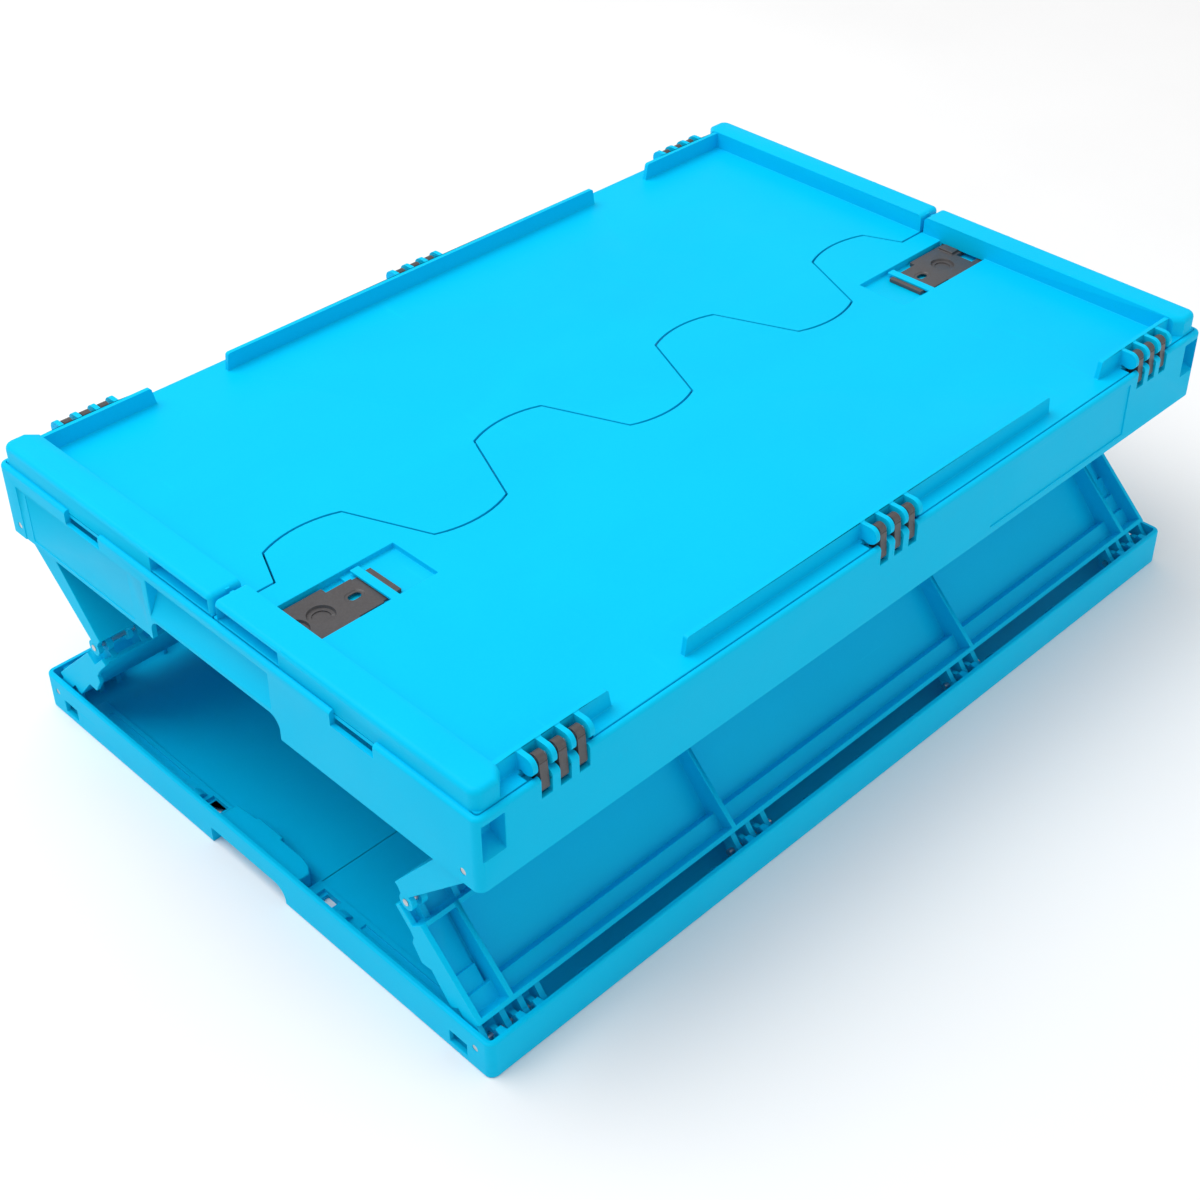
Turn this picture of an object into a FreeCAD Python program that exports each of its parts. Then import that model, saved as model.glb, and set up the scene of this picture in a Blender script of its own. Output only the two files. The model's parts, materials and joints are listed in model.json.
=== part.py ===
"""Folding stacking crate, 600 x 400 mm, with a two-leaf hinged lid, shown half folded.

Millimetres, +Z up, long side along X, front long side at -Y. The origin is the centre of
the bottom face. Every node is written to parts/NODE.step.
"""
import FreeCAD, Part
import math
import os

# ---------------------------------------------------------------- driving dimensions
HALF_X = 300.0            # half of the crate's length
HALF_Y = 200.0            # half of the crate's width
CORNER = 5.0              # outer corner radius in plan
WALL = 3.0                # outer wall thickness
GAP = 0.5                 # play between neighbouring mouldings

BASE_TOP = 25.3           # top of the base rim
FLOOR_TOP = 3.0

LINK = 80.5               # distance between the pins of one side wall panel
REST_ANGLE = 39.3         # side wall panels lean this far from upright as drawn
PIN_Y = 188.5             # base and frame pins, from the centre line
BASE_PIN_Z = 15.5
PIN_R = 2.0
PIN_HOLE_R = 2.06

FRAME_H = 46.2            # height of the upper frame
FRAME_PIN_UP = 7.6        # frame pin above the frame's lower edge
MID_PIN_Y = PIN_Y - LINK * math.sin(math.radians(REST_ANGLE))
MID_PIN_Z = BASE_PIN_Z + LINK * math.cos(math.radians(REST_ANGLE))
TOP_PIN_Z = BASE_PIN_Z + 2 * LINK * math.cos(math.radians(REST_ANGLE))
FRAME_BOT = TOP_PIN_Z - FRAME_PIN_UP
FRAME_TOP = FRAME_BOT + FRAME_H

# side wall panels, measured along the panel (s) and outwards from the pin line (t)
SKIN_IN = -11.5           # inner face of the panel
SKIN_OUT = -8.7           # outer face of its skin
RIB_T = 3.0               # rib thickness
PANEL_HALF = 296.0        # half length of a panel
RIB_X = (273.0, 108.0)    # upright ribs on each half of a panel
ARM_X = (280.0, 268.0, 256.0, 109.0, 97.0, 85.0)     # hinge arms of the panels
GUSSET_X = (287.0, 274.0, 262.0, 103.0, 91.0)        # pin brackets in the base and frame
ARM_T = 3.5
KNUCKLE_R = 5.0
CORNER_PIN_END = 253.0    # inner end of the long pins beside the corners
MIDDLE_PIN = (80.0, 114.0)                           # reach of the short inner pins

# lid
LID_TOP = FRAME_TOP + 0.6
LID_T = 3.0
LID_BOT = LID_TOP - LID_T
RIDGE_TOP = LID_TOP + 12.2
RIDGE_IN = 277.5          # inner face of the raised end ridges
RIDGE_OUT = 297.0
RIDGE_CORNER = 6.0        # plan radius of a ridge's outer corner
RIDGE_CHAMFER = 5.0       # flat across a ridge's inner front corner
SEAM_PITCH = 147.5        # pitch of the wavy seam between the leaves
SEAM_HALF = 26.0          # half width of each rounded crest
SEAM_Y = 25.5
SEAM_CREST = 31.0
SEAM_END_X = 258.0
SEAM_END_Y = 1.0
SEAM_PLAY = 0.25          # each leaf also stands this far back from the seam
UPRIGHT_Y = (188.0, 185.2)                           # stacking upright, outer and inner face
HINGE_X = (-245.0, 0.0, 245.0)
CLIP_DX = (-12.0, 0.0, 12.0)
LID_RIB_DX = (-18.0, -6.0, 6.0, 18.0)
CLIP_T = 5.1
CLIP_EYE_R = 3.9          # clip round the lid pin
CLIP_FOOT_R = 3.0         # clip round the frame pin
SLOT_HALF = 3.5           # half width of a clip slot
POST_DX = (-6.0, 6.0)     # posts between the clip slots
POST_HALF = 2.45
HINGE_GAP = 15.3          # half width of the rim's opening at a hinge
LID_RIB_R = 5.2
LID_PIN = (194.0, FRAME_TOP + 6.6)                   # distance from centre line, height
FRAME_LID_PIN = (194.2, FRAME_TOP - 7.4)
SMALL_PIN_R = 1.5
SMALL_HOLE_R = 1.55

# latch
LATCH_IN = 193.5          # inner end of the latch recess
LATCH_Y = (-51.6, -15.6)
LATCH_FLOOR = LID_TOP - 5.4
LATCH_SHELF = LID_TOP - 3.5                          # floor of the recess's inner part
LATCH_SHELF_X = 229.5
LATCH_PLATE_TOP = LID_TOP - 2.2
LATCH_TUNNEL = 283.9      # the latch reaches this far under the ridge
PAN_T = 1.6               # thickness of the recess floor

# end walls, stowed under the lid
END_PIVOT = (286.0, FRAME_TOP - 15.7)
END_LENGTH = 172.0
END_HALF = 174.0

V = FreeCAD.Vector


# ---------------------------------------------------------------- helpers
def box(x0, x1, y0, y1, z0, z1):
    return Part.makeBox(x1 - x0, y1 - y0, z1 - z0, V(x0, y0, z0))


def prism(points, direction):
    wire = Part.makePolygon(points + [points[0]])
    return Part.Face(wire).extrude(direction)


def prism_x(yz, x0, x1):
    return prism([V(x0, y, z) for y, z in yz], V(x1 - x0, 0, 0))


def prism_y(xz, y0, y1):
    return prism([V(x, y0, z) for x, z in xz], V(0, y1 - y0, 0))


def prism_z(xy, z0, z1):
    return prism([V(x, y, z0) for x, y in xy], V(0, 0, z1 - z0))


def rod_x(x0, x1, y, z, r):
    return Part.makeCylinder(r, x1 - x0, V(x0, y, z), V(1, 0, 0))


def rod_y(y0, y1, x, z, r):
    return Part.makeCylinder(r, y1 - y0, V(x, y0, z), V(0, 1, 0))


def disc(x, y, z0, z1, r):
    return Part.makeCylinder(r, z1 - z0, V(x, y, z0))


def join(shapes):
    if len(shapes) == 1:
        return shapes[0]
    return shapes[0].multiFuse(shapes[1:]).removeSplitter()


def cut(shape, tools):
    return shape.cut(tools).removeSplitter()


def flip_x(shape):
    return shape.mirror(V(0, 0, 0), V(1, 0, 0))


def flip_y(shape):
    return shape.mirror(V(0, 0, 0), V(0, 1, 0))


def both_x(shapes):
    return shapes + [flip_x(s) for s in shapes]


def both_y(shapes):
    return shapes + [flip_y(s) for s in shapes]


def half_turn(shape):
    turned = shape.copy()
    turned.rotate(V(0, 0, 0), V(0, 0, 1), 180)
    return turned


def round_edges(shape, radius, wanted):
    edges = [e for e in shape.Edges if wanted(e)]
    return shape.makeFillet(radius, edges)


def upright(edge):
    return abs(edge.tangentAt(edge.FirstParameter).z) > 0.999 and edge.BoundBox.ZLength > 0.5


def slab(half_x, half_y, radius, z0, z1):
    """Rectangular slab with rounded corners in plan."""
    return round_edges(box(-half_x, half_x, -half_y, half_y, z0, z1), radius, upright)


def at_height(z):
    return lambda e: e.BoundBox.ZLength < 0.01 and abs(e.BoundBox.ZMin - z) < 0.01


# ---------------------------------------------------------------- base
def bracket_top(x):
    """Upper part of a base bracket, which climbs from the pin to the rim."""
    z1 = BASE_TOP - 2.2
    y0 = -(HALF_Y - WALL) - 0.5
    y1 = -PIN_Y - 1.5
    plan = [(x - 3.0, y0), (x + 3.0, y0), (x + 1.6, y1), (x - 1.6, y1)]
    block = prism_z(plan, BASE_PIN_Z, z1)
    slope = prism_x([(y1 + 1, z1 - 4.0), (y1 + 1, z1 + 1), (y1 - 3.0, z1 + 1), (y1 - 1.5, z1)],
                    x - 5, x + 5)
    return block.cut(slope)


def pin_bracket(x, low, high, pin_z, hole):
    """Tapered bracket that stands off the front long wall and carries a hinge pin."""
    wall_y = -(HALF_Y - WALL) - 0.5
    tip_y = -PIN_Y + 5.0
    plan = [(x - 3.2, wall_y), (x + 3.2, wall_y), (x + 1.6, tip_y), (x - 1.6, tip_y)]
    plate = prism_z(plan, low, high)
    eye = rod_x(x - 1.6, x + 1.6, -PIN_Y, pin_z, KNUCKLE_R)
    return cut(join([plate, eye]), [rod_x(x - 8, x + 8, -PIN_Y, pin_z, hole)])


def base_channel_rib(x):
    """Thin stiffener between the base's long wall and its floor."""
    y = HALF_Y - WALL
    outline = [(-y - 0.5, FLOOR_TOP - 0.5), (-y + 11, FLOOR_TOP - 0.5), (-y + 11, 9.5),
               (-y + 7.5, 15.0), (-y + 3.0, 19.0), (-y - 0.5, 20.0)]
    return prism_x(outline, x - 1.2, x + 1.2)


def end_block():
    """Raised block over the hand notch, inside the left short wall."""
    wall_x = -(HALF_X - WALL) - 0.5
    plan = [(wall_x, 34.5), (wall_x, -36.5), (-284.5, -36.5), (-281.3, -32), (-279.6, -25),
            (-279.6, -5), (-277.8, -4.5), (-277.8, 17), (-279.2, 18), (-280.4, 34.5)]
    block = prism_z(plan, FLOOR_TOP - 0.5, 14.2)
    return round_edges(block, 1.0, at_height(14.2))


def end_notch():
    """Hand notch under the left short wall, with one corner rounded."""
    notch = box(-HALF_X - 5, -283, -34, 33, -6, 11.2)

    def rounded(e):
        b = e.BoundBox
        return b.XLength > 5 and abs(b.YMin + 34) < 0.01 and abs(b.ZMin - 11.2) < 0.01
    return round_edges(notch, 9.0, rounded)


def end_ledge():
    """Low ledge that runs along the left short side, with a stop beside each drain hole."""
    ledges = []
    for y0, y1 in ((-172, -37), (36, 172)):
        ledges.append(box(-288, -278.5, y0, y1, FLOOR_TOP - 0.5, 5.4))
    stops = []
    for y in (64.0, -68.0):
        stops.append(prism_y([(-297.5, 2.5), (-283.5, 2.5), (-283.5, 6.4), (-287.0, 9.0),
                              (-297.5, 9.0)], y - 3.5, y + 3.5))
    return ledges + stops


def base_tray():
    outer = slab(HALF_X, HALF_Y, CORNER, 0, BASE_TOP)
    outer = round_edges(outer, 1.4, at_height(BASE_TOP))
    outer = round_edges(outer, 1.0, at_height(0))
    inner = slab(HALF_X - WALL, HALF_Y - WALL, CORNER - WALL, FLOOR_TOP, BASE_TOP + 5)
    shell = outer.cut(inner)
    front = []
    for x in GUSSET_X:
        front.append(pin_bracket(x, FLOOR_TOP - 0.5, BASE_PIN_Z + 1.0, BASE_PIN_Z, PIN_HOLE_R))
        front.append(cut(bracket_top(x), [rod_x(x - 8, x + 8, -PIN_Y, BASE_PIN_Z, PIN_HOLE_R)]))
    for x in (226.0, 192.0, 127.0, 48.0):
        front.append(base_channel_rib(x))
    sides = both_y(both_x(front) + [base_channel_rib(0.0)])
    ends = [end_block()] + end_ledge()
    ends = ends + [half_turn(e) for e in ends]
    tray = join([shell] + sides + ends)
    holes = []
    for y in (51.0, -51.0):
        holes.append(box(-HALF_X + WALL, -280.9, y - 7, y + 7, FLOOR_TOP, FLOOR_TOP + 5))
        holes.append(box(-286.6, -281.0, y - 4.5, y + 4.5, -1, FLOOR_TOP + 1))
    for y0, y1 in ((-160, -80), (80, 160)):
        holes.append(box(-285.0, -281.5, y0, y1, 4.2, 6))
    for y in (-175.5, 175.5):
        holes.append(box(-HALF_X - 1, -HALF_X + WALL + 1, y - 6.5, y + 6.5, 4.0, 12.6))
    holes.append(end_notch())
    holes = holes + [half_turn(h) for h in holes]
    for y in (-PIN_Y, PIN_Y):
        holes.append(rod_x(-HALF_X - 1, -HALF_X + 5, y, BASE_PIN_Z, PIN_HOLE_R))
        holes.append(rod_x(HALF_X - 5, HALF_X + 1, y, BASE_PIN_Z, PIN_HOLE_R))
    return cut(tray, holes)


# ---------------------------------------------------------------- side wall panels
def place_panel(shape, lean, pin_y, pin_z):
    """Turn an upright front panel, built with its lower pin at the origin, into place."""
    placed = shape.copy()
    placed.rotate(V(0, 0, 0), V(1, 0, 0), lean)
    placed.translate(V(0, -pin_y, pin_z))
    return placed


def panel_prism(outline, x0, x1):
    """Extrude an (s, t) outline: s runs up the panel and t outwards, towards -Y."""
    return prism_x([(-t, s) for s, t in outline], x0, x1)


def panel_box(s0, s1, t0, t1, x0, x1):
    return box(x0, x1, -t1, -t0, s0, s1)


def lower_out(s):
    """Outer face of the lower panel; it lies level when the crate is folded flat."""
    return 9.3 - 0.112 * s


def upper_out(s):
    """Outer face of the upper panel, level over the lower one when folded flat."""
    return -1.9 + 0.106 * s


def arm(s_pin, s_body, t0, t1, x, thick):
    """Hinge arm: an eye round the pin and a web back to the panel's body."""
    low, high = sorted((s_pin, s_body))
    eye = Part.makeCylinder(KNUCKLE_R, thick, V(x - thick / 2, 0, s_pin), V(1, 0, 0))
    web = panel_box(low, high, t0, t1, x - thick / 2, x + thick / 2)
    return [eye, web]


def lower_panel():
    full = (-PANEL_HALF, PANEL_HALF)
    top = LINK - 13.5
    body = [
        panel_box(20.0, LINK - 0.5, SKIN_IN, SKIN_OUT, *full),
        panel_box(20.0, 22.8, SKIN_IN, -1.4, *full),
        panel_box(10.0, 22.8, -4.2, -1.4, *full),
        panel_prism([(10, -4.2), (10, lower_out(10)), (12.8, lower_out(12.8)), (12.8, -4.2)],
                    *full),
        panel_prism([(top - 2.6, SKIN_IN), (top - 2.6, lower_out(top)), (top, lower_out(top)),
                     (top, SKIN_IN)], *full),
    ]
    side = []
    for x in RIB_X:
        side.append(panel_prism([(10, -4), (10, lower_out(10)), (top, lower_out(top)),
                                 (top, SKIN_OUT - 1), (20, SKIN_OUT - 1)],
                                x - RIB_T / 2, x + RIB_T / 2))
    end = [(10, -4.2), (10, lower_out(10)), (top, lower_out(top)), (top, -6.5),
           (LINK - 0.5, -8.0), (LINK - 0.5, -12.4), (66, SKIN_IN), (60.5, SKIN_IN - 0.6),
           (58, -16.0), (46, -17.5), (42, SKIN_IN), (20, SKIN_IN), (20, -4.2)]
    side.append(panel_prism(end, PANEL_HALF - RIB_T, PANEL_HALF))
    pad_x = RIB_X[0] + RIB_T / 2 + 2.0
    side += [panel_box(12.0, 34.0, SKIN_OUT - 1, -4.4, pad_x, PANEL_HALF - 2.0),
             panel_box(33.0, 47.0, SKIN_OUT - 1, -6.6, pad_x, PANEL_HALF - 2.0),
             panel_box(46.0, 66.0, SKIN_OUT - 1, -6.6, pad_x, PANEL_HALF - RIB_T - 3.8)]
    for x in ARM_X:
        side += arm(0.0, 11.0, -4.0, 4.6, x, ARM_T)
    side += arm(0.0, 11.0, -4.0, 4.6, PANEL_HALF - RIB_T / 2, RIB_T)
    for x in (288.0, 268.0, 97.0):
        side += arm(LINK, top - 1, SKIN_OUT - 1, -3.0, x, ARM_T)
    panel = join(body + both_x(side))
    holes = [rod_x(-HALF_X, HALF_X, 0, 0, PIN_HOLE_R),
             rod_x(-HALF_X, HALF_X, 0, LINK, PIN_HOLE_R)]
    return cut(panel, holes)


def upper_panel():
    full = (-PANEL_HALF, PANEL_HALF)
    top = 68.0
    body = [
        panel_box(1.4, 73.0, SKIN_IN, SKIN_OUT, *full),
        panel_prism([(12, SKIN_IN), (12, upper_out(12)), (14.6, upper_out(14.6)),
                     (14.6, SKIN_IN)], *full),
        panel_prism([(top - 2.6, SKIN_IN), (top - 2.6, upper_out(top - 2.6)),
                     (top, upper_out(top)), (top, SKIN_IN)], *full),
    ]
    side = []
    for x in RIB_X:
        side.append(panel_prism([(12, SKIN_OUT - 1), (12, upper_out(12)), (top, upper_out(top)),
                                 (top, SKIN_OUT - 1)], x - RIB_T / 2, x + RIB_T / 2))
    end = [(1.4, SKIN_IN), (1.4, SKIN_OUT), (0, -KNUCKLE_R + 0.2), (0, 0), (5, upper_out(5)),
           (top, upper_out(top)), (73, 3.6), (73, SKIN_IN)]
    side.append(panel_prism(end, PANEL_HALF - RIB_T, PANEL_HALF))
    side += arm(0.0, 6.0, -4.6, -1.8, PANEL_HALF - RIB_T / 2, RIB_T)
    for x in (274.5, 261.5, 103.5, 90.5):
        side += arm(0.0, 13.0, SKIN_OUT - 1, -1.2, x, RIB_T)
    for x in ARM_X:
        side += arm(LINK, top - 1, -4.0, 3.6, x, ARM_T)
    side += arm(LINK, 72.0, -4.0, 3.4, PANEL_HALF - RIB_T / 2, RIB_T)
    panel = join(body + both_x(side))
    holes = [rod_x(-HALF_X, HALF_X, 0, 0, PIN_HOLE_R),
             rod_x(-HALF_X, HALF_X, 0, LINK, PIN_HOLE_R)]
    return cut(panel, holes)


def hinge_pins(y, z, corner_end):
    """Two corner pins and two inner pins on one hinge line, as separate solids."""
    a, b = MIDDLE_PIN
    pins = [rod_x(CORNER_PIN_END, corner_end, y, z, PIN_R), rod_x(a, b, y, z, PIN_R)]
    return Part.makeCompound(both_x(pins))


# ---------------------------------------------------------------- upper frame
def frame_shell():
    outer = slab(HALF_X, HALF_Y, CORNER, FRAME_BOT, FRAME_TOP)
    outer = round_edges(outer, 2.4, at_height(FRAME_TOP))
    inner = slab(HALF_X - WALL, HALF_Y - WALL, CORNER - WALL, FRAME_BOT - 5, FRAME_TOP + 5)
    return outer.cut(inner)


def frame_ledge():
    """Level ledge that the closed lid rests on, all round inside the rim."""
    z1 = LID_BOT - 0.7
    ring = box(-297.5, 297.5, -197.5, 197.5, z1 - 2.4, z1)
    pans = both_x([box(-HALF_X + WALL, -275, LATCH_Y[0] - 5, LATCH_Y[1] + 5, z1 - 5, z1 + 5)])
    return ring.cut([box(-276, 276, -175.5, 175.5, z1 - 5, z1 + 5)] + pans)


def frame_front():
    """What the frame carries behind its front wall."""
    z1 = LID_BOT - 0.7
    parts = [box(-297.5, 297.5, -178, -175.5, FRAME_BOT + 21.6, z1 - 1)]
    brackets = [pin_bracket(x, TOP_PIN_Z - 1.0, z1 - 1, TOP_PIN_Z, PIN_HOLE_R)
                for x in GUSSET_X]
    brackets += [box(x - 1.6, x + 1.6, -197.5, -183.5, FRAME_BOT + 24, z1 - 1)
                 for x in (226.0, 180.0, 140.0, 48.0)]
    parts += both_x(brackets)
    for x in HINGE_X:
        parts.append(box(x - 25, x + 25, -198, -186.5, FRAME_TOP - 17, z1))
        parts += [hinge_post(x + dx) for dx in POST_DX]
    corner = box(-297.5, -279, -197.5, -186, FRAME_BOT + 16, z1)
    parts += both_x([corner])
    return parts


def hinge_gaps():
    """Rim cut down at the lid hinges, so that only the posts stand there."""
    return [box(x - HINGE_GAP, x + HINGE_GAP, -HALF_Y - 1, -190.6, FRAME_TOP - 5, FRAME_TOP + 2)
            for x in HINGE_X]


def hinge_post(x):
    """Rounded post beside each clip slot, level with the rim."""
    post = box(x - POST_HALF, x + POST_HALF, -HALF_Y, -191.2, FRAME_TOP - 16, FRAME_TOP)

    def top_edges(e):
        b = e.BoundBox
        return b.XLength > 2 and b.YLength < 0.01 and abs(b.ZMin - FRAME_TOP) < 0.01
    return round_edges(post, 3.0, top_edges)


def frame_grip():
    """Backing for the scooped grip under the rim of the left short wall."""
    x = -HALF_X + WALL - 0.5
    z1 = LID_BOT - 0.7
    outline = [(x - 1, FRAME_BOT + 14), (x + 3, FRAME_BOT + 14), (x + 9, z1 - 4),
               (x + 9, z1), (x - 1, z1)]
    return prism_y(outline, -51, 61)


def frame_cuts():
    """Openings that repeat on both long sides or both short sides."""
    front = []
    for x in HINGE_X:
        for dx in CLIP_DX:
            front.append(box(x + dx - SLOT_HALF, x + dx + SLOT_HALF, -HALF_Y - 1, -186,
                             FRAME_TOP - 12.2, FRAME_TOP + 2))
            front.append(box(x + dx - SLOT_HALF, x + dx + SLOT_HALF, -HALF_Y + WALL, -186,
                             FRAME_TOP - 13.2, FRAME_TOP - 12))
        front.append(rod_x(x - 22, x + 22, -FRAME_LID_PIN[0], FRAME_LID_PIN[1], SMALL_HOLE_R))
    z0 = FRAME_BOT + 18.4
    z1 = FRAME_BOT + 41.6
    pocket = prism_x([(-HALF_Y - 1, z0), (-HALF_Y - 1, z1), (-189, z1 - 2.5), (-189, z0 + 5)],
                     -297.0, -283.0)
    front += both_x([pocket])
    left = [box(-HALF_X - 1, -HALF_X + WALL + 0.01, y0, y1, FRAME_TOP - 8.6, FRAME_TOP + 1)
            for y0, y1 in ((100, 132), (-128, -96))]
    left += [grip_cut(), grip_edge_cut()]
    left += [rod_x(-HALF_X - 1, -HALF_X + 5, y, TOP_PIN_Z, PIN_HOLE_R)
             for y in (-PIN_Y, PIN_Y)]
    left.append(box(-HALF_X - 1, -HALF_X + 0.5, 62, 184, FRAME_BOT - 1, FRAME_TOP - 9.5))
    left.append(box(-HALF_X - 1, -HALF_X + 0.9, 76, 175.5, FRAME_BOT + 3.0, FRAME_BOT + 35))
    label = box(88, 222, -HALF_Y - 1, -HALF_Y + 0.8, FRAME_BOT + 5, FRAME_BOT + 40.3)
    return both_y(front) + left + [half_turn(c) for c in left] + [label, half_turn(label)]


def grip_cut():
    """Finger scoop: flush at its lower edge, deepest under the rim band."""
    outline = [(-HALF_X - 1, FRAME_BOT + 16.5), (-HALF_X, FRAME_BOT + 16.5),
               (-HALF_X + 9, FRAME_BOT + 36), (-HALF_X + 9, FRAME_TOP - 6),
               (-HALF_X - 1, FRAME_TOP - 6)]
    return prism_y(outline, -47, 57)


def grip_edge_cut():
    """Raised lower edge of the short wall, with rounded ends."""
    tool = box(-HALF_X - 1, -HALF_X + WALL + 6, -52, 59, FRAME_BOT - 6, FRAME_BOT + 14)

    def ends(e):
        b = e.BoundBox
        return b.XLength > 5 and abs(b.ZMin - FRAME_BOT - 14) < 0.01
    return round_edges(tool, 8.0, ends)


def end_pivot_bosses():
    """Bosses on the long curtains that carry the end walls' pivot pins."""
    x, z = END_PIVOT
    return both_x([rod_y(-183, -175.5, -x, z, 5.0), rod_y(175.5, 183, -x, z, 5.0)])


def upper_frame():
    parts = [cut(frame_shell(), both_y(hinge_gaps())), frame_ledge()]
    parts += both_y(frame_front())
    parts += [frame_grip(), half_turn(frame_grip())]
    parts += end_pivot_bosses()
    frame = join(parts)
    x, z = END_PIVOT
    holes = both_x([rod_y(-190, -170, -x, z, PIN_HOLE_R), rod_y(170, 190, -x, z, PIN_HOLE_R)])
    return cut(frame, frame_cuts() + holes)


# ---------------------------------------------------------------- end walls
def end_wall():
    """Left end wall, stowed level under the lid; its smooth face is up."""
    px, pz = END_PIVOT
    x0 = -px + 2.0
    x1 = -px + END_LENGTH
    skin = box(x0, x1, -END_HALF, END_HALF, pz + 2.6, pz + 5.4)
    ribs = [box(x0, x1, y - 1.4, y + 1.4, pz - 5.6, pz + 3)
            for y in (-END_HALF + 1.4, -116, -58, 0, 58, 116, END_HALF - 1.4)]
    ribs += [box(x - 1.4, x + 1.4, -END_HALF, END_HALF, pz - 5.6, pz + 3)
             for x in (x0 + 1.4, -px + 30, -px + 78, -px + 125, x1 - 1.4)]
    bosses = []
    holes = []
    for y0, y1 in ((-END_HALF, -END_HALF + 16), (END_HALF - 16, END_HALF)):
        bosses.append(rod_y(y0, y1, -px, pz, 5.0))
        bosses.append(box(-px, x0 + 1, y0, y1, pz - 5.0, pz + 5.0))
        holes.append(rod_y(y0 - 1, y1 + 1, -px, pz, PIN_HOLE_R))
    return cut(join([skin] + ribs + bosses), holes)


def end_wall_pins():
    px, pz = END_PIVOT
    return Part.makeCompound([rod_y(-183, -161, -px, pz, PIN_R), rod_y(161, 183, -px, pz, PIN_R)])


# ---------------------------------------------------------------- lid
def arc(x0, y0, xm, ym, x1, y1):
    return Part.Arc(V(x0, y0, 0), V(xm, ym, 0), V(x1, y1, 0)).toShape()


def line(x0, y0, x1, y1):
    return Part.makeLine(V(x0, y0, 0), V(x1, y1, 0))


def seam_edges(reach):
    """The wavy seam from -reach to reach, as straight flanks between rounded crests."""
    edges = [line(-reach, SEAM_END_Y, -SEAM_END_X, SEAM_END_Y)]
    here = (-SEAM_END_X, SEAM_END_Y)
    for step in range(-3, 4):
        side = 1 if step % 2 else -1
        centre = step * SEAM_PITCH / 2
        start = (centre - SEAM_HALF, side * SEAM_Y)
        stop = (centre + SEAM_HALF, side * SEAM_Y)
        edges.append(line(*here, *start))
        edges.append(arc(*start, centre, side * SEAM_CREST, *stop))
        here = stop
    edges.append(line(*here, SEAM_END_X, SEAM_END_Y))
    edges.append(line(SEAM_END_X, SEAM_END_Y, reach, SEAM_END_Y))
    return edges


def leaf_plate(side):
    """Flat plate of one leaf: side -1 is the front leaf, +1 the back one."""
    reach = HALF_X - WALL
    edge_y = side * (HALF_Y - WALL)
    back = side * SEAM_PLAY
    end_y = SEAM_END_Y + back
    edges = [e.translated(V(0, back, 0)) for e in seam_edges(reach)]
    edges += [line(reach, end_y, reach, edge_y), line(reach, edge_y, -reach, edge_y),
              line(-reach, edge_y, -reach, end_y)]
    face = Part.Face(Part.Wire(Part.__sortEdges__(edges)))
    face = face.makeOffset2D(-GAP)
    face.translate(V(0, 0, LID_BOT))
    plate = face.extrude(V(0, 0, LID_T))

    def outer_corner(e):
        return upright(e) and abs(e.BoundBox.YMin - edge_y) < 2
    return round_edges(plate, CORNER - WALL, outer_corner)


def end_ridge():
    """Front half of the left ridge, hollow underneath, with a finger recess by the seam."""
    y0 = -(HALF_Y - WALL) + 0.6
    y1 = -1.4
    ridge = box(-RIDGE_OUT, -RIDGE_IN, y0, y1, LID_BOT, RIDGE_TOP)

    def corner(e):
        return upright(e) and e.BoundBox.XMin < -RIDGE_OUT + 1 and e.BoundBox.YMin < y0 + 1

    def split_corner(e):
        return upright(e) and e.BoundBox.XMin < -RIDGE_OUT + 1 and e.BoundBox.YMin > y1 - 1

    def inner_corner(e):
        return upright(e) and e.BoundBox.XMin > -RIDGE_IN - 4 and e.BoundBox.YMin < y0 + 4
    ridge = ridge.makeChamfer(RIDGE_CHAMFER, [e for e in ridge.Edges if inner_corner(e)])
    ridge = round_edges(ridge, RIDGE_CORNER, corner)
    ridge = round_edges(ridge, 3.5, split_corner)
    ridge = round_edges(ridge, 3.4, lambda e: at_height(RIDGE_TOP)(e) and not inner_top(e))
    hollow = box(-RIDGE_OUT + 2.6, -RIDGE_IN - 2.4, y0 + 2.6, y1 - 2.4, LID_BOT - 1,
                 RIDGE_TOP - 3.4)
    hollow = hollow.makeChamfer(RIDGE_CHAMFER - 1.0,
                                [e for e in hollow.Edges if inner_corner(e)])
    recess = box(-RIDGE_OUT - 1, -286.5, -54, y1 - 2.2, LID_BOT - 0.5, RIDGE_TOP - 3.2)
    back = box(-286.5, -284.0, -56, y1, LID_BOT, RIDGE_TOP - 1)
    foot = box(-RIDGE_OUT + 0.5, -284, -56, y1, LID_BOT, LID_TOP - 0.2)
    end = box(-RIDGE_OUT + 0.5, -284, -56.6, -54, LID_BOT, RIDGE_TOP - 1)
    shell = ridge.cut([hollow, recess])
    return join([shell, back, foot, end])


def inner_top(e):
    return abs(e.BoundBox.XMax + RIDGE_IN) < 0.01 and abs(e.BoundBox.XMin + RIDGE_IN) < 0.01


def stacking_upright(x0, x1, ramp0, ramp1):
    """Low upright wall along the front edge with slightly raked ends."""
    z0 = LID_TOP - 0.5
    z1 = RIDGE_TOP - 0.8
    outline = [(x0, z0), (x1, z0), (x1 - ramp1, z1), (x0 + ramp0, z1)]
    wall = prism_y(outline, -UPRIGHT_Y[0], -UPRIGHT_Y[1])

    def top_corner(e):
        b = e.BoundBox
        return b.YLength > 2 and b.XLength < 0.01 and abs(b.ZMin - z1) < 0.01
    return round_edges(wall, 1.8, top_corner)


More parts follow.
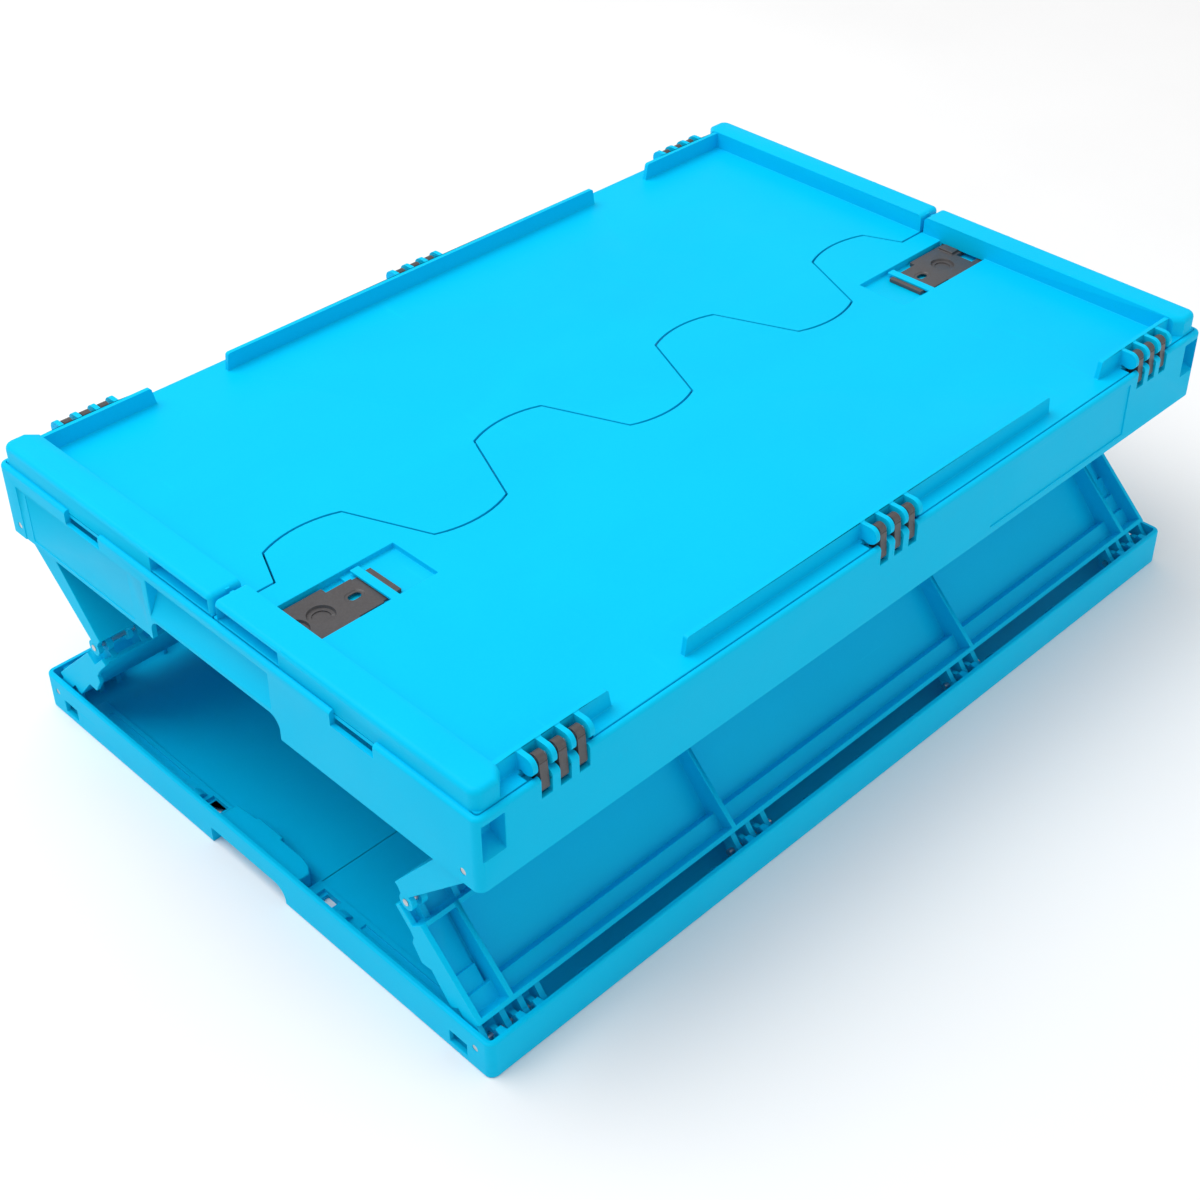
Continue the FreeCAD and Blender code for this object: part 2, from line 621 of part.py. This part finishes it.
def lid_hinge(x):
    """Four rounded ribs that carry one lid hinge pin."""
    y, z = LID_PIN
    ribs = []
    for dx in LID_RIB_DX:
        a = x + dx - 1.5
        b = x + dx + 1.5
        nose = box(a, b, -y - LID_RIB_R, -188.9, FRAME_TOP + 2.1, z)
        ribs += [box(a, b, -189.4, -UPRIGHT_Y[1] - 0.5, LID_BOT, z + LID_RIB_R),
                 box(a, b, -y, -188.9, z - 0.5, z + LID_RIB_R),
                 round_edges(nose, 3.6, nose_corner),
                 rod_x(a, b, -y, z, LID_RIB_R)]
    return ribs


def nose_corner(e):
    """Lower outer edge of a front lid rib."""
    b = e.BoundBox
    return b.XLength > 1 and b.ZMax < FRAME_TOP + 3 and b.YMax < -LID_PIN[0] - LID_RIB_R + 0.1


def lid_ribs(side):
    """Stiffening ribs under one leaf."""
    z0 = LID_BOT - 4.5
    ribs = [box(-272, 272, y - 1.2, y + 1.2, z0, LID_BOT + 0.5)
            for y in (-168.0, -112.0, -56.0)]
    for x in (-225, -150, -75, 0, 75, 150, 225):
        ribs.append(box(x - 1.2, x + 1.2, -168, -33, z0, LID_BOT + 0.5))
    ribs += [box(-273.2, -270.8, -168, -12, z0, LID_BOT + 0.5),
             box(270.8, 273.2, -168, -12, z0, LID_BOT + 0.5)]
    if side > 0:
        ribs = [flip_y(r) for r in ribs]
    return ribs


def latch_recess():
    """Cuts for the left latch: the recess and its tunnel under the ridge."""
    y0, y1 = LATCH_Y
    well = box(-RIDGE_IN, -LATCH_SHELF_X, y0, y1, LATCH_FLOOR, LID_TOP + 1)
    shelf = box(-LATCH_SHELF_X - 1, -LATCH_IN, y0, y1, LATCH_SHELF, LID_TOP + 1)
    tunnel = box(-LATCH_TUNNEL, -RIDGE_IN + 1, -50.5, -17.1, LATCH_FLOOR,
                 LATCH_PLATE_TOP + 0.4)
    return [well, shelf, tunnel]


def latch_bridge():
    return box(-224.6, -218.8, LATCH_Y[0] - 0.5, -18.0, LID_TOP - 1.7, LID_TOP)


def lid_leaf(side):
    parts = [leaf_plate(side)]
    own = []
    own += both_x([end_ridge()])
    own += both_x([stacking_upright(203.4, RIDGE_IN + 1, 2.5, 0)])
    own.append(stacking_upright(-153.3, 153.3, 1.5, 1.5))
    hinge_cuts = []
    for x in HINGE_X:
        hinge_cuts.append(box(x - 21, x + 21, -198, -190.4, LID_BOT - 1, RIDGE_TOP))
        own += lid_hinge(x)
    if side > 0:
        own = [flip_y(s) for s in own]
        hinge_cuts = [flip_y(s) for s in hinge_cuts]
    plate = cut(parts[0], hinge_cuts)
    own += lid_ribs(side)
    if side < 0:
        own += both_x([box(-287.0, -190.5, LATCH_Y[0] - 3, LATCH_Y[1] + 3, LATCH_FLOOR - PAN_T,
                           LID_BOT + 0.5)])
    leaf = join([plate] + own)
    holes = [rod_x(x - 18.6, x + 18.6, side * LID_PIN[0], LID_PIN[1], SMALL_HOLE_R)
             for x in HINGE_X]
    if side < 0:
        holes += both_x(latch_recess())
    leaf = cut(leaf, holes)
    if side < 0:
        leaf = join([leaf] + both_x([latch_bridge()]))
    return leaf


def latch_slide(blocked):
    """Left latch slide: a stepped plate with dishes; a blocked one has a raised end instead."""
    z0 = LATCH_FLOOR + 0.2
    z1 = LATCH_PLATE_TOP
    thin = LATCH_SHELF + 0.2
    outer = -LATCH_TUNNEL + 0.7
    parts = [box(outer, -243.0, -50.0, -17.6, z0, z1),
             box(-244, -227.0, -48.8, -21.6, thin, z1),
             box(-228, -214.8, -47.8, -22.8, thin, z1),
             box(-218.3, -214.8, -47.8, -22.8, thin, LID_TOP - 0.9)]
    cuts = []
    dishes = [-256.0]
    if blocked:
        parts.append(box(-277.0, -270.5, -31.0, -20.0, z1 - 0.5, LID_TOP - 0.6))
        cuts.append(box(outer - 1, -272.5, -45.5, -33.0, z0 - 1, z1 + 1))
    else:
        dishes.append(-272.4)
    for x in dishes:
        cuts += [Part.makeCone(7.2, 7.8, 1.6, V(x, -34.2, z1 - 1.5)), disc(x, -34.2, z1 - 2.2, z1, 5.2)]
    y = -34.0
    ends = (-235.9, -232.9)
    cuts += [disc(x, y, z0 - 1, z1 + 1, 2.4) for x in ends]
    cuts.append(box(*ends, y - 2.4, y + 2.4, z0 - 1, z1 + 1))
    cuts += [Part.makeCone(3.6, 4.4, 0.6, V(x, y, z1 - 0.5)) for x in ends]
    cuts.append(prism_x([(y - 3.6, z1 - 0.5), (y + 3.6, z1 - 0.5), (y + 4.4, z1 + 0.1),
                         (y - 4.4, z1 + 0.1)], *ends))
    return cut(join(parts), cuts)


# ---------------------------------------------------------------- lid hinge clips and pins
def hinge_clip(x):
    """Front clip that links a lid pin to a frame pin."""
    a = x - CLIP_T / 2
    b = x + CLIP_T / 2
    y0, z0 = FRAME_LID_PIN
    y1, z1 = LID_PIN
    strap = prism_x([(-y1 - 3.7, z1 + 1.2), (-y0 - 4.9, z0 - 1.0), (-y0 - 4.2, z0 - 2.4),
                     (-y0, z0 - 2.4),
                     (-y0 + 3.2, z0), (-y1 + 3.0, z1 + 1.2)], a, b)
    top = rod_x(a, b, -y1, z1, CLIP_EYE_R)
    foot = rod_x(a, b, -y0, z0, CLIP_FOOT_R)
    groove = rod_x(a - 1, b + 1, -y1 - CLIP_EYE_R - 0.3, z1 + 0.4, 0.7)
    clip = join([strap, top, foot])
    return cut(clip, [rod_x(a - 1, b + 1, -y0, z0, SMALL_HOLE_R),
                      rod_x(a - 1, b + 1, -y1, z1, SMALL_HOLE_R), groove])


def small_pin(x, pin, half):
    return rod_x(x - half, x + half, -pin[0], pin[1], SMALL_PIN_R)


# ---------------------------------------------------------------- all nodes
def all_nodes():
    nodes = {"base_tray": base_tray(), "upper_frame": upper_frame()}
    lower = place_panel(lower_panel(), -REST_ANGLE, PIN_Y, BASE_PIN_Z)
    upper = place_panel(upper_panel(), REST_ANGLE, MID_PIN_Y, MID_PIN_Z)
    front = {"lower_panel": lower, "upper_panel": upper,
             "base_pins": hinge_pins(-PIN_Y, BASE_PIN_Z, HALF_X - 0.3),
             "mid_pins": hinge_pins(-MID_PIN_Y, MID_PIN_Z, PANEL_HALF + 0.4),
             "frame_pins": hinge_pins(-PIN_Y, TOP_PIN_Z, HALF_X - 0.3)}
    for name, x in zip(("left", "middle", "right"), HINGE_X):
        front["lid_pin_" + name] = small_pin(x, LID_PIN, 18.2)
        front["clip_pin_" + name] = small_pin(x, FRAME_LID_PIN, 21.5)
        for number, dx in enumerate(CLIP_DX, 1):
            front["clip_%s_%d" % (name, number)] = hinge_clip(x + dx)
    for name, shape in front.items():
        nodes["front_" + name] = shape
        nodes["back_" + name] = flip_y(shape)
    nodes["front_lid_leaf"] = lid_leaf(-1)
    nodes["back_lid_leaf"] = lid_leaf(1)
    nodes["left_latch_slide"] = latch_slide(False)
    nodes["right_latch_slide"] = flip_x(latch_slide(True))
    nodes["left_end_wall"] = end_wall()
    nodes["right_end_wall"] = flip_x(end_wall())
    nodes["left_end_wall_pins"] = end_wall_pins()
    nodes["right_end_wall_pins"] = flip_x(end_wall_pins())
    return nodes


os.makedirs("parts", exist_ok=True)
for node, solid in all_nodes().items():
    solid.exportStep("parts/%s.step" % node)
    print("%-24s solids %d  valid %s  volume %.1f cm3" % (
        node, len(solid.Solids), solid.isValid(), solid.Volume / 1000))
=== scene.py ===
"""Folding stacking crate, half folded: materials, softened edges, light and camera."""
import json
import math

import bmesh
import bpy
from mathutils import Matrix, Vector


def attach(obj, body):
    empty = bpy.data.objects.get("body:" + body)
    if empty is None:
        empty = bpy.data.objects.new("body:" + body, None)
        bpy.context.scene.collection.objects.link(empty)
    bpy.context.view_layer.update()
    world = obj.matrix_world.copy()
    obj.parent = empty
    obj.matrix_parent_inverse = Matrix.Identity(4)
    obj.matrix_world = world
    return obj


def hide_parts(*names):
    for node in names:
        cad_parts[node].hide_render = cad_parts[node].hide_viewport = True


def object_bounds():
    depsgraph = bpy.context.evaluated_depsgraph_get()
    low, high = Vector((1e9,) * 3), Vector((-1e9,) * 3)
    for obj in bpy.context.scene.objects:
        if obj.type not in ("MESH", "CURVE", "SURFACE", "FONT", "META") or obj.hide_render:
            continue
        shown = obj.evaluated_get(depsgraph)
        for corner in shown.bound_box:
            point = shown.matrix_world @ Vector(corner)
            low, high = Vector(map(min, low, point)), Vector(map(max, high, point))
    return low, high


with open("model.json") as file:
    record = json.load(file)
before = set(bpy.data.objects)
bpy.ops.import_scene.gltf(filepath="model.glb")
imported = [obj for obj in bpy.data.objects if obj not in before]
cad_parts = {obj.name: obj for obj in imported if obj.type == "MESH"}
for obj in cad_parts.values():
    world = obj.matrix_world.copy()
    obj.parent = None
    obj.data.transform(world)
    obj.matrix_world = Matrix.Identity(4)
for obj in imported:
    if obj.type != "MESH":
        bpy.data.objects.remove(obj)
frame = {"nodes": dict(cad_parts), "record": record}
cad_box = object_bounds()

MM = 0.001
BODY_OF = {node: body
           for body, nodes in frame["record"]["behaviour"]["bodies"].items()
           for node in nodes}

# Materials: linear colours, and how far each effect shows
BLUE = (0.0, 0.545, 0.86)
BLUE_DEEP = (0.0, 0.520, 0.835)
BLUE_PALE = (0.01, 0.63, 0.92)
GREY = (0.075, 0.070, 0.072)
GREY_DEEP = (0.062, 0.057, 0.059)
GREY_PALE = (0.20, 0.19, 0.195)
STEEL = (0.66, 0.66, 0.67)
STEEL_SHADE = 0.72              # dull patches on steel, as a share of its colour
FLOOR_LOW = (0.90, 0.90, 0.90)
FLOOR_HIGH = (0.93, 0.93, 0.93)
PLASTIC_IOR = 1.49
# Paling of sharp edges: part rubbed wear, part painted edge highlight
EDGE_WEAR_AND_HIGHLIGHT_PALING = 0.30
SCUFF_PALING = 0.22
SCUFF_ROUGHNESS = 0.16
EDGE_ROUGHNESS = 0.08
EDGE_WEAR_AND_HIGHLIGHT_RADIUS = 0.7 * MM
EDGE_WEAR_AND_HIGHLIGHT_SAMPLES = 4
EDGE_WEAR_AND_HIGHLIGHT_STARTS, EDGE_WEAR_AND_HIGHLIGHT_FULL = 0.985, 0.80    # cosine of the turn between true and rounded normals
WARP_DEPTH = 0.25 * MM
GRAIN_DEPTH = 0.02 * MM
SCUFF_DEPTH = 0.02 * MM
DRAWN_LINE_DEPTH = 0.008 * MM

# Noise scales, per metre
FLOW_NOISE = 7.0
MOTTLE_NOISE = 22.0
WARP_NOISE = 16.0
GRAIN_NOISE = 2300.0
SPECKLE_NOISE = 900.0
EDGE_WEAR_AND_HIGHLIGHT_NOISE = 70.0
SCUFF_PATCH_NOISE = 9.0
SCUFFS_ALONG_Y = {"scale": 260.0, "direction": (1.0, 0.06, 1.0), "low": 0.66, "high": 0.72}
SCUFFS_ALONG_X = {"scale": 240.0, "direction": (0.05, 1.0, 1.0), "low": 0.67, "high": 0.73}
DRAWN_LINE_NOISE = 2600.0
DULL_NOISE = 120.0
FLOOR_TONE_NOISE = 3.0
FLOOR_GLOSS_NOISE = 40.0

# Softened copies
EDGE = {"crate_blue": 0.5 * MM, "fitting_grey": 0.35 * MM, "pin_steel": 0.3 * MM}
EDGE_SEGMENTS = 2
SHARP_ANGLE = math.radians(34)  # faces that meet at less than this stay one smooth surface
FLAT_ANGLE = math.radians(0.6)  # faces that meet at less than this are merged into one
SAME_POINT = 1e-6
NO_LENGTH = 1e-9
EDGE_SHARE = 0.42               # of the shortest run beside an edge that its rounding may use

# Floor, lights and camera, in metres and watts
FLOOR_SIZE = 14.0
FLOOR_GAP = 0.05 * MM
KEY = {"place": (-0.9, 0.9, 2.9), "size": (3.0, 3.0), "power": 85.0}
FILL = {"place": (1.3, -3.0, 1.3), "size": (3.0, 2.0), "power": 14.0}
SKY = (1.0, 1.0, 1.0, 1.0)
SKY_STRENGTH = 0.56
LENS_MM = 58.07
SENSOR_MM = 36.0
SHIFT = (-0.0160, -0.0633)
CLIP = (0.05, 50.0)
CAMERA_PLACE = (-0.68692, -0.67289, 0.78896)
CAMERA_TARGET = (-0.0217, -0.0124, 0.100)


# ---------------------------------------------------------------- node helpers
class Tree:
    """Short calls for building one material's node tree."""

    def __init__(self, name):
        self.material = bpy.data.materials.new(name)
        self.material.use_nodes = True
        self.nodes = self.material.node_tree.nodes
        self.links = self.material.node_tree.links
        self.shader = self.nodes["Principled BSDF"]
        self.coord = self.nodes.new("ShaderNodeTexCoord").outputs["Object"]

    def link(self, source, node, socket):
        self.links.new(source, node.inputs[socket])

    def stretch(self, scale):
        """Object coordinates scaled by (x, y, z)."""
        node = self.nodes.new("ShaderNodeMapping")
        node.inputs["Scale"].default_value = scale
        self.link(self.coord, node, "Vector")
        return node.outputs["Vector"]

    def noise(self, scale, detail, vector=None, roughness=0.5, distortion=0.0):
        node = self.nodes.new("ShaderNodeTexNoise")
        node.inputs["Scale"].default_value = scale
        node.inputs["Detail"].default_value = detail
        node.inputs["Roughness"].default_value = roughness
        node.inputs["Distortion"].default_value = distortion
        self.link(vector or self.coord, node, "Vector")
        return node.outputs["Fac"]

    def ramp(self, source, low, high, out_low=0.0, out_high=1.0):
        node = self.nodes.new("ShaderNodeMapRange")
        node.inputs["From Min"].default_value = low
        node.inputs["From Max"].default_value = high
        node.inputs["To Min"].default_value = out_low
        node.inputs["To Max"].default_value = out_high
        self.link(source, node, "Value")
        return node.outputs["Result"]

    def math(self, operation, a, b):
        node = self.nodes.new("ShaderNodeMath")
        node.operation = operation
        for index, value in enumerate((a, b)):
            if isinstance(value, (int, float)):
                node.inputs[index].default_value = value
            else:
                self.links.new(value, node.inputs[index])
        return node.outputs[0]

    def mix(self, factor, a, b):
        node = self.nodes.new("ShaderNodeMix")
        node.data_type = "RGBA"
        self.links.new(factor, node.inputs[0])
        for index, value in ((6, a), (7, b)):
            if isinstance(value, tuple):
                node.inputs[index].default_value = (*value, 1.0)
            else:
                self.links.new(value, node.inputs[index])
        return node.outputs[2]

    def bump(self, height, distance, strength, normal=None):
        node = self.nodes.new("ShaderNodeBump")
        node.inputs["Distance"].default_value = distance
        node.inputs["Strength"].default_value = strength
        self.link(height, node, "Height")
        if normal is not None:
            self.link(normal, node, "Normal")
        return node.outputs["Normal"]

    def wear_and_highlight_edges(self, radius):
        """About 1 on sharp edges, outer or inner, and 0 on flat faces: the mask for pale edges,
        part rubbed wear and part painted edge highlight.
        """
        soft = self.nodes.new("ShaderNodeBevel")
        soft.samples = EDGE_WEAR_AND_HIGHLIGHT_SAMPLES
        soft.inputs["Radius"].default_value = radius
        plain = self.nodes.new("ShaderNodeNewGeometry")
        dot = self.nodes.new("ShaderNodeVectorMath")
        dot.operation = "DOT_PRODUCT"
        self.links.new(soft.outputs["Normal"], dot.inputs[0])
        self.links.new(plain.outputs["Normal"], dot.inputs[1])
        return self.ramp(dot.outputs["Value"], EDGE_WEAR_AND_HIGHLIGHT_STARTS, EDGE_WEAR_AND_HIGHLIGHT_FULL)

    def scratches(self, scale, direction, low, high):
        """Thin, long, sparse marks along one direction."""
        lines = self.noise(scale, 2.0, self.stretch(direction), 0.6)
        patches = self.ramp(self.noise(SCUFF_PATCH_NOISE, 1.0), 0.50, 0.62)
        return self.math("MULTIPLY", self.ramp(lines, low, high), patches)


def moulded_plastic(name, colour, deep, pale, roughness, grain, specular):
    """Injection moulded plastic: fine grain, slight sink and flow marks, scuffs, pale edges
    that are part rubbed wear and part painted highlight.
    """
    t = Tree(name)
    flow = t.noise(FLOW_NOISE, 3.0, t.stretch((1.0, 1.6, 1.0)), 0.55, 0.6)
    tone = t.mix(t.ramp(flow, 0.30, 0.70), colour, deep)
    speckle = t.ramp(t.noise(SPECKLE_NOISE, 1.0), 0.35, 0.75, 0.0, 0.10)
    tone = t.mix(speckle, tone, pale)
    scuff = t.math("MAXIMUM", t.scratches(**SCUFFS_ALONG_Y), t.scratches(**SCUFFS_ALONG_X))
    # Sharp edges, inner ones too, are paled in patches: part rubbed wear, part painted edge
    # highlight
    edge = t.math("MULTIPLY", t.wear_and_highlight_edges(EDGE_WEAR_AND_HIGHLIGHT_RADIUS),
                  t.ramp(t.noise(EDGE_WEAR_AND_HIGHLIGHT_NOISE, 3.0), 0.38, 0.62))
    tone = t.mix(t.math("MULTIPLY", edge, EDGE_WEAR_AND_HIGHLIGHT_PALING), tone, pale)
    tone = t.mix(t.math("MULTIPLY", scuff, SCUFF_PALING), tone, pale)
    t.link(tone, t.shader, "Base Color")
    mottled = t.ramp(t.noise(MOTTLE_NOISE, 3.0), 0.30, 0.70, roughness - 0.04, roughness + 0.05)
    worn = t.math("ADD", mottled, t.math("MULTIPLY", scuff, SCUFF_ROUGHNESS))
    t.link(t.math("ADD", worn, t.math("MULTIPLY", edge, EDGE_ROUGHNESS)), t.shader, "Roughness")
    warp = t.bump(t.noise(WARP_NOISE, 1.0), WARP_DEPTH, 0.5)
    texture = t.bump(t.noise(GRAIN_NOISE, 2.0), GRAIN_DEPTH, grain, warp)
    t.link(t.bump(scuff, SCUFF_DEPTH, 0.5, texture), t.shader, "Normal")
    t.shader.inputs["IOR"].default_value = PLASTIC_IOR
    t.shader.inputs["Specular IOR Level"].default_value = specular
    return t.material


def drawn_steel(name, colour, roughness):
    """Bright drawn wire: fine rings and lines along X, a little dulling."""
    t = Tree(name)
    lines = t.noise(DRAWN_LINE_NOISE, 2.0, t.stretch((0.02, 1.0, 1.0)))
    dull = t.noise(DULL_NOISE, 3.0)
    shade = tuple(STEEL_SHADE * channel for channel in colour)
    t.link(t.mix(t.ramp(dull, 0.3, 0.7), colour, shade), t.shader, "Base Color")
    t.link(t.math("ADD", t.ramp(lines, 0.3, 0.7, roughness - 0.05, roughness + 0.08),
                  t.ramp(dull, 0.45, 0.8, 0.0, 0.12)), t.shader, "Roughness")
    t.link(t.bump(lines, DRAWN_LINE_DEPTH, 0.6), t.shader, "Normal")
    t.shader.inputs["Metallic"].default_value = 1.0
    return t.material


def pale_floor(name):
    """A nearly even pale grey surface."""
    t = Tree(name)
    tone = t.mix(t.ramp(t.noise(FLOOR_TONE_NOISE, 2.0), 0.3, 0.7), FLOOR_LOW, FLOOR_HIGH)
    t.link(tone, t.shader, "Base Color")
    t.link(t.ramp(t.noise(FLOOR_GLOSS_NOISE, 2.0), 0.3, 0.7, 0.75, 0.85), t.shader, "Roughness")
    return t.material


MATERIALS = {
    "crate_blue": moulded_plastic("blue_plastic", BLUE, BLUE_DEEP, BLUE_PALE,
                                  roughness=0.42, grain=0.35, specular=0.05),
    "fitting_grey": moulded_plastic("grey_plastic", GREY, GREY_DEEP, GREY_PALE,
                                    roughness=0.38, grain=0.45, specular=0.45),
    "pin_steel": drawn_steel("pin_steel", STEEL, roughness=0.30),
}


# ---------------------------------------------------------------- softened copies
def clear_run(edge, vert, other):
    """How far a bevel of this edge may slide along a neighbour: short if nearly in line."""
    along = edge.other_vert(vert).co - vert.co
    beside = other.other_vert(vert).co - vert.co
    if along.length < NO_LENGTH or beside.length < NO_LENGTH:
        return 0.0
    return beside.length * math.sin(along.angle(beside))


def soften(source, name, width):
    """A copy of a CAD node's mesh with flat faces merged and every sharp edge rounded."""
    data = source.data.copy()
    data.name = name
    bm = bmesh.new()
    bm.from_mesh(data)
    bmesh.ops.remove_doubles(bm, verts=bm.verts, dist=SAME_POINT)
    bmesh.ops.dissolve_limit(bm, angle_limit=FLAT_ANGLE, verts=bm.verts,
                             edges=bm.edges, use_dissolve_boundaries=False)
    weight = bm.edges.layers.float.new("bevel_weight_edge")
    for edge in bm.edges:
        if len(edge.link_faces) != 2 or edge.calc_face_angle(0.0) < SHARP_ANGLE:
            continue
        reach = [clear_run(edge, vert, other) for vert in edge.verts
                 for other in vert.link_edges if other is not edge]
        edge[weight] = min([1.0] + [EDGE_SHARE * run / width for run in reach])
    for face in bm.faces:
        face.smooth = True
    bm.to_mesh(data)
    bm.free()
    copy = bpy.data.objects.new(name, data)
    bpy.context.collection.objects.link(copy)
    bevel = copy.modifiers.new("edges", "BEVEL")
    bevel.width = width
    bevel.segments = EDGE_SEGMENTS
    bevel.limit_method = "WEIGHT"
    bevel.use_clamp_overlap = False
    bevel.harden_normals = True
    data.set_sharp_from_angle(angle=SHARP_ANGLE)
    keep_inside(copy, source)
    return copy


def keep_inside(copy, source):
    """Bake the bevel, then pull any stray corner back inside the CAD node's own box."""
    seen = bpy.context.evaluated_depsgraph_get()
    mesh = bpy.data.meshes.new_from_object(copy.evaluated_get(seen))
    copy.modifiers.clear()
    copy.data = mesh
    corners = [Vector(corner) for corner in source.bound_box]
    least = [min(c[i] for c in corners) for i in range(3)]
    most = [max(c[i] for c in corners) for i in range(3)]
    for vert in mesh.vertices:
        for i in range(3):
            vert.co[i] = min(max(vert.co[i], least[i]), most[i])


for entry in frame["record"]["subparts"]:
    node = entry["node"]
    slot = entry["material_slot"]
    piece = soften(frame["nodes"][node], "soft_" + node, EDGE[slot])
    piece.data.materials.clear()
    piece.data.materials.append(MATERIALS[slot])
    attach(piece, BODY_OF[node])
    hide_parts(node)


# ---------------------------------------------------------------- floor, light, camera
def area_light(name, target, place, size, power):
    """A rectangular lamp at place, turned towards target."""
    data = bpy.data.lights.new(name, "AREA")
    data.shape = "RECTANGLE"
    data.size, data.size_y = size
    data.energy = power
    lamp = bpy.data.objects.new(name, data)
    bpy.context.collection.objects.link(lamp)
    lamp.location = place
    lamp.rotation_euler = (Vector(target) - Vector(place)).to_track_quat("-Z", "Y").to_euler()


low, high = cad_box
bpy.ops.mesh.primitive_plane_add(size=FLOOR_SIZE, location=(0.0, 0.0, low.z - FLOOR_GAP))
floor = bpy.context.object
floor.name = "floor"
floor.data.materials.append(pale_floor("pale_floor"))

centre = (low + high) / 2
area_light("key", centre, **KEY)
area_light("fill", centre, **FILL)

world = bpy.data.worlds.new("studio")
world.use_nodes = True
sky = world.node_tree.nodes["Background"]
sky.inputs["Color"].default_value = SKY
sky.inputs["Strength"].default_value = SKY_STRENGTH
bpy.context.scene.world = world
bpy.context.scene.view_settings.view_transform = "Standard"
bpy.context.scene.view_settings.look = "None"

camera_data = bpy.data.cameras.new("camera")
camera_data.lens = LENS_MM
camera_data.sensor_width = SENSOR_MM
camera_data.shift_x, camera_data.shift_y = SHIFT
camera_data.clip_start, camera_data.clip_end = CLIP
camera = bpy.data.objects.new("camera", camera_data)
bpy.context.collection.objects.link(camera)
camera.location = CAMERA_PLACE
look = Vector(CAMERA_TARGET) - camera.location
camera.rotation_euler = look.to_track_quat("-Z", "Y").to_euler()
bpy.context.scene.camera = camera
